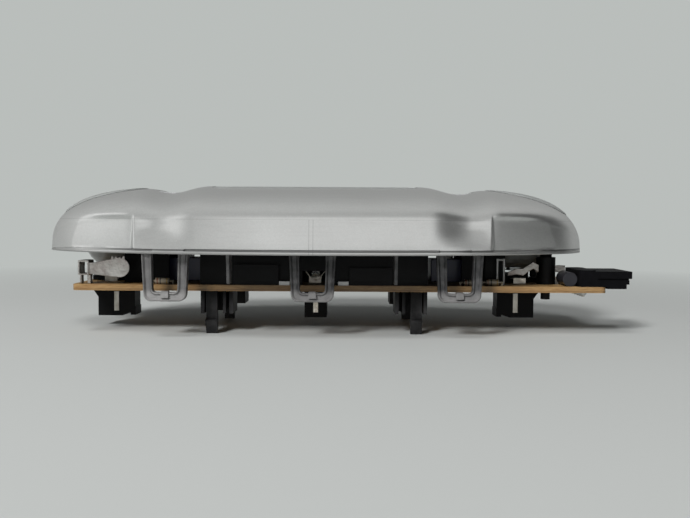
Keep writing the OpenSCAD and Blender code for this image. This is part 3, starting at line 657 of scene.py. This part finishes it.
def centre_z(x, y):
    """Height of the centre lens, an arc across the unit."""
    return cover_h - centre_lens_drop - y * y / (2 * crown_r)


def reading_z(x, y):
    """Height of a reading lens, which follows the cover."""
    return skin_z(x, y) + read_proud


centre_outline = rounded_outline(
    0, 0, dome_half_l - gap, dome_half_d - gap, dome_corner - gap, steps=12
)
finished(
    "centre_lens", dished(centre_outline, centre_z, centre_lens_t), [frosted.material], "unit",
    node="centre_lens",
)
for side, name in ((-1, "left_reading_lens"), (1, "right_reading_lens")):
    lens = dished(read_outline(-gap, side), reading_z, lens_t + read_proud)
    finished(name, lens, [frosted.material], "unit", node=name)


# Push buttons. Silver caps of moulded plastic with a dished top, each pressing the white plunger of
# the latching switch under it.
def grained(name, scale, detail, first, second, **shader):
    """A finish whose colour wanders between two tones, and the grain that it wanders with."""
    finish = Finish(name, **shader)
    grain = finish.noise(scale, detail)
    finish.set(Base_Color=finish.mix(grain, first, second))
    return finish, grain


def coated(finish, *names):
    """Gives CAD nodes a finish in place of their flat colour."""
    for name in names:
        nodes[name].data.materials.clear()
        nodes[name].data.materials.append(finish.material)


def softened(width, *names):
    """Rounds the edges of CAD nodes a little, as moulding does."""
    for name in names:
        weld = nodes[name].modifiers.new("weld", "WELD")
        weld.merge_threshold = 2e-6
        bevel = nodes[name].modifiers.new("bevel", "BEVEL")
        bevel.limit_method = "ANGLE"
        bevel.angle_limit = math.radians(32)
        bevel.width = width * mm
        bevel.segments = 2
        even = nodes[name].modifiers.new("even", "WEIGHTED_NORMAL")
        even.keep_sharp = False


button_silver, fleck = grained(
    "button_silver", 2600, 2, (0.42, 0.425, 0.43), (0.52, 0.525, 0.53), Metallic=0.35
)
button_silver.set(Roughness=0.36 + fleck * 0.1)
coated(button_silver, "left_push_button", "right_push_button")
softened(0.3, "left_push_button", "right_push_button")
white, _ = grained("white_plunger", 800, 3, (0.60, 0.60, 0.57), (0.70, 0.70, 0.68), Roughness=0.4)
coated(white, "left_switch_plunger", "right_switch_plunger")
blue, blue_grain = grained("blue_switch", 500, 3, (0.002, 0.004, 0.035), (0.004, 0.007, 0.06))
blue.set(Roughness=0.25 + blue_grain * 0.15)
coated(blue, "left_switch_body", "right_switch_body")
softened(0.2, "left_switch_body", "right_switch_body")

# Housing. One black moulding of glass-filled nylon: a deck under the cover, a front wall with a
# window, guarded snap legs and pillars that carry the board, and short walls beside the bowls.
board_top, bowl_wall_top = -8.6, 0.7
bowl_wall_x, bowl_wall_y = (46.4, 52.1), (10.4, 11.6)
black = Finish("black_moulding")
dust = black.noise(160, 4, 0.6)
fine = black.noise(2200, 2)
# Painted light: the housing from 11.2 mm to 16.5 mm under the rim, the feet of the snap legs, is
# lightened to dark grey in patches, as lit.
legs_painted_light = step(0 - black.along(2), 11.2 * mm, 16.5 * mm) * step(dust, 0.30, 0.70)
tone = black.mix(step(dust, 0.45, 0.8), (0.002, 0.002, 0.0022), (0.008, 0.008, 0.009))
black.set(Base_Color=black.mix(legs_painted_light, tone, (0.055, 0.054, 0.055)), Specular_IOR_Level=0.14)
black.set(Roughness=0.42 + dust * 0.22, Normal=black.bump(fine, 0.25, 0.06 * mm))
coated(black, "housing")
softened(0.18, "housing")
bowl_walls = bmesh.new()
for sx in (-1, 1):
    for sy in (-1, 1):
        low, high = sorted(sy * y for y in bowl_wall_y)
        near_x, far_x = (sx * x for x in bowl_wall_x)
        wall_plan = [(near_x, low), (far_x, low), (far_x, high), (near_x, high)]
        prism(bowl_walls, wall_plan, board_top, bowl_wall_top, soft=0.18)
bmesh.ops.recalc_face_normals(bowl_walls, faces=bowl_walls.faces)
finished("bowl_walls", bowl_walls, [black.material], "unit")

# Reflectors. Pale grey polycarbonate moulded to a mirror-smooth bowl: a wide tray under the centre
# lens and a round bowl under each reading lens.
pale, pale_cloud = grained(
    "pale_reflector", 120, 3, (0.27, 0.274, 0.266), (0.37, 0.37, 0.36), Coat_Weight=0.4
)
pale.set(Roughness=0.30 + pale_cloud * 0.12)
coated(pale, "centre_reflector", "left_reflector", "right_reflector")

# Circuit board. Paper phenolic, punched, with copper on its underside only: tracks under a thin
# varnish and a pad round each pin. Its edge shows the layers and the line of the punch's break.
board_low = -10.2
phenolic = Finish("paper_phenolic", Roughness=0.55)
lengthwise = phenolic.place(stretch=(0.12, 0.12, 1.0))
fibre = phenolic.noise(3800, 3, place=lengthwise)
layers = phenolic.noise(900, 2, place=lengthwise)
cells = phenolic.node(
    "TexVoronoi", {"Vector": phenolic.place(), "Scale": 95, "Randomness": 0.55},
    feature="DISTANCE_TO_EDGE",
)
break_line = abs(phenolic.along(2) - (board_low + 0.35) * mm) < 0.22 * mm
# Painted shade: the board is darkened towards its middle, under the cover.
ends_clear_of_painted_shade = step(abs(phenolic.along(0)), 36 * mm, 62 * mm)
track = (phenolic.along(2) < (board_low + 0.02) * mm) * step(cells, 0.05, 0.07)
tone = phenolic.mix(step(fibre, 0.3, 0.7), (0.22, 0.125, 0.047), (0.35, 0.225, 0.10))
tone = phenolic.mix(step(layers, 0.52, 0.7) * 0.5, tone, (0.20, 0.10, 0.04))
tone = phenolic.mix((1 - ends_clear_of_painted_shade) * 0.35 + break_line * 0.35, tone, (0.075, 0.04, 0.018))
tone = phenolic.mix(track, tone, (0.30, 0.17, 0.06))
phenolic.set(Base_Color=tone, Normal=phenolic.bump(fibre + track * 0.6, 0.3, 0.08 * mm))
coated(phenolic, "circuit_board")

# Bulb holders. Glossy black heat-resistant plastic: a keyed body that drops through the board from
# below and turns 60 degrees, so that its two lugs lock over the board.
holders = ("left_bulb_holder", "centre_bulb_holder", "right_bulb_holder")
holder_black, sheen = grained(
    "holder_black", 240, 3, (0.002, 0.002, 0.0022), (0.006, 0.006, 0.006), Specular_IOR_Level=0.08
)
holder_black.set(Roughness=0.36 + sheen * 0.2, Normal=holder_black.bump(sheen, 0.2, 0.2 * mm))
coated(holder_black, *holders)
softened(0.2, *holders)

# Holder contacts. Tinned spring brass strip, one on each side of a holder. The strips run up
# through the body and fold out over the board; those of the centre holder fan out behind the
# housing's window.
tin = Finish("tinned_brass", Metallic=1.0)
dull = tin.noise(380, 4, 0.6)
tin.set(Base_Color=tin.mix(step(dull, 0.35, 0.7), (0.40, 0.38, 0.34), (0.24, 0.22, 0.19)))
tin.set(Roughness=0.20 + dull * 0.25, Normal=tin.bump(tin.noise(700, 2), 0.35, 0.2 * mm))
coated(tin, "left_holder_contacts", "right_holder_contacts")
crinkled = Finish("crinkled_brass", Metallic=0.9)
crinkle = crinkled.noise(900, 4, 0.6)
tone = crinkled.mix(step(crinkle, 0.3, 0.7), (0.92, 0.88, 0.80), (0.50, 0.44, 0.36))
crinkled.set(Base_Color=tone, Roughness=0.22 + crinkle * 0.2)
crinkled.set(Normal=crinkled.bump(crinkle, 0.9, 0.5 * mm))
coated(crinkled, "centre_holder_contacts")

# Bulbs. Wedge-base capsules, 5 W, of clear glass drawn out to a flat base that plugs between the
# contacts of a holder.
glass = Finish("bulb_glass", Base_Color=(0.96, 0.98, 0.98), Transmission_Weight=1.0, IOR=1.45)
ripple = glass.noise(90, 2)
glass.set(Roughness=0.02 + ripple * 0.03, Normal=glass.bump(ripple, 0.1, 0.3 * mm))
coated(glass, "left_bulb", "centre_bulb", "right_bulb")

# Spring clips. Sheet steel, stamped, folded and bright from wear: a blade with a boxed end at the
# left and a gull-wing strip through the pillar at the right, both standing on the board.
clips = ("left_spring_clip", "right_spring_clip")
steel = Finish("worn_spring_steel", Metallic=1.0)
scratch = steel.noise(2600, 3, place=steel.place(stretch=(0.25, 1.0, 1.0)))
stain = steel.noise(170, 4, 0.6)
worn = steel.mix(step(stain, 0.45, 0.75), (0.50, 0.485, 0.46), (0.26, 0.21, 0.195))
# Painted shade: the clip at the right, under the cover's rim, is darkened.
steel.set(Base_Color=steel.mix((steel.along(0) > 0) * 0.6, worn, (0.12, 0.11, 0.10)))
steel.set(Roughness=0.30 + scratch * 0.22)
steel.set(Normal=steel.bump(steel.noise(330, 3) + scratch * 0.15, 0.7, 0.5 * mm))
coated(steel, *clips)
dents = bpy.data.textures.new("dents", "CLOUDS")
dents.noise_scale = 1.6 * mm
for name in clips:
    fine_mesh = nodes[name].modifiers.new("fine_mesh", "REMESH")
    fine_mesh.mode = "VOXEL"
    fine_mesh.voxel_size = 0.09 * mm
    fine_mesh.use_smooth_shade = True
    round_off = nodes[name].modifiers.new("round_off", "SMOOTH")
    round_off.iterations = 2
    crumple = nodes[name].modifiers.new("crumple", "DISPLACE")
    crumple.texture = dents
    crumple.strength = 0.24 * mm
    crumple.mid_level = 0.5

# Connector. A black header with a stepped end over the board's edge and five tinned pins, bent down
# through the board and soldered below it.
plug_black, matt = grained(
    "header_black", 600, 3, (0.002, 0.002, 0.0022), (0.006, 0.006, 0.007), Specular_IOR_Level=0.04
)
plug_black.set(Roughness=0.5 + matt * 0.15, Normal=plug_black.bump(matt, 0.2, 0.1 * mm))
coated(plug_black, "connector_housing")
softened(0.2, "connector_housing")
coated(tin, "connector_pins")
solder, frost = grained("solder", 900, 3, (0.60, 0.60, 0.58), (0.42, 0.42, 0.41), Metallic=1.0)
solder.set(Roughness=0.3 + frost * 0.2)
coated(solder, "solder_joints")


# Small parts on the board. Resistors with painted bands, two diodes with a pale band at one end, a
# small can capacitor, grey chips and tinned wire bridges.
def banded(finish, centres, half):
    """1 on rings round parts that lie along X, at these places in millimetres."""
    along = finish.along(0)
    total = 0
    for centre in centres:
        total = (abs(along - centre * mm) < half * mm) + total
    return total


ring_half = 0.16
resistor = Finish("resistor_lacquer", Roughness=0.3)
tone = resistor.mix(resistor.noise(500), (0.20, 0.17, 0.125), (0.28, 0.24, 0.18))
brown_rings = banded(resistor, (-41.5, 40.3, 46.2), ring_half)
black_rings = banded(resistor, (-40.7, 41.0, 47.1), ring_half)
gold_rings = banded(resistor, (-39.0, 42.4, 48.7), ring_half)
tone = resistor.mix(brown_rings, tone, (0.14, 0.04, 0.02))
tone = resistor.mix(black_rings, tone, (0.02, 0.02, 0.02))
resistor.set(Base_Color=resistor.mix(gold_rings, tone, (0.25, 0.16, 0.05)))
coated(resistor, "resistors")
diode = Finish("diode_black", Roughness=0.3)
tone = diode.mix(diode.noise(500), (0.012, 0.012, 0.013), (0.03, 0.03, 0.03))
diode.set(Base_Color=diode.mix(banded(diode, (-36.5, 39.5), 0.3), tone, (0.50, 0.50, 0.50)))
coated(diode, "diodes")
can, can_grain = grained(
    "can_sleeve", 400, 3, (0.012, 0.012, 0.015), (0.03, 0.03, 0.034), Specular_IOR_Level=0.15
)
can.set(Roughness=0.25 + can_grain * 0.15)
coated(can, "capacitor")
bridge, bridge_grain = grained(
    "chips_and_bridges", 700, 3, (0.34, 0.34, 0.34), (0.46, 0.46, 0.45), Metallic=0.5
)
bridge.set(Roughness=0.3 + bridge_grain * 0.2)
coated(bridge, "jumper_wires")
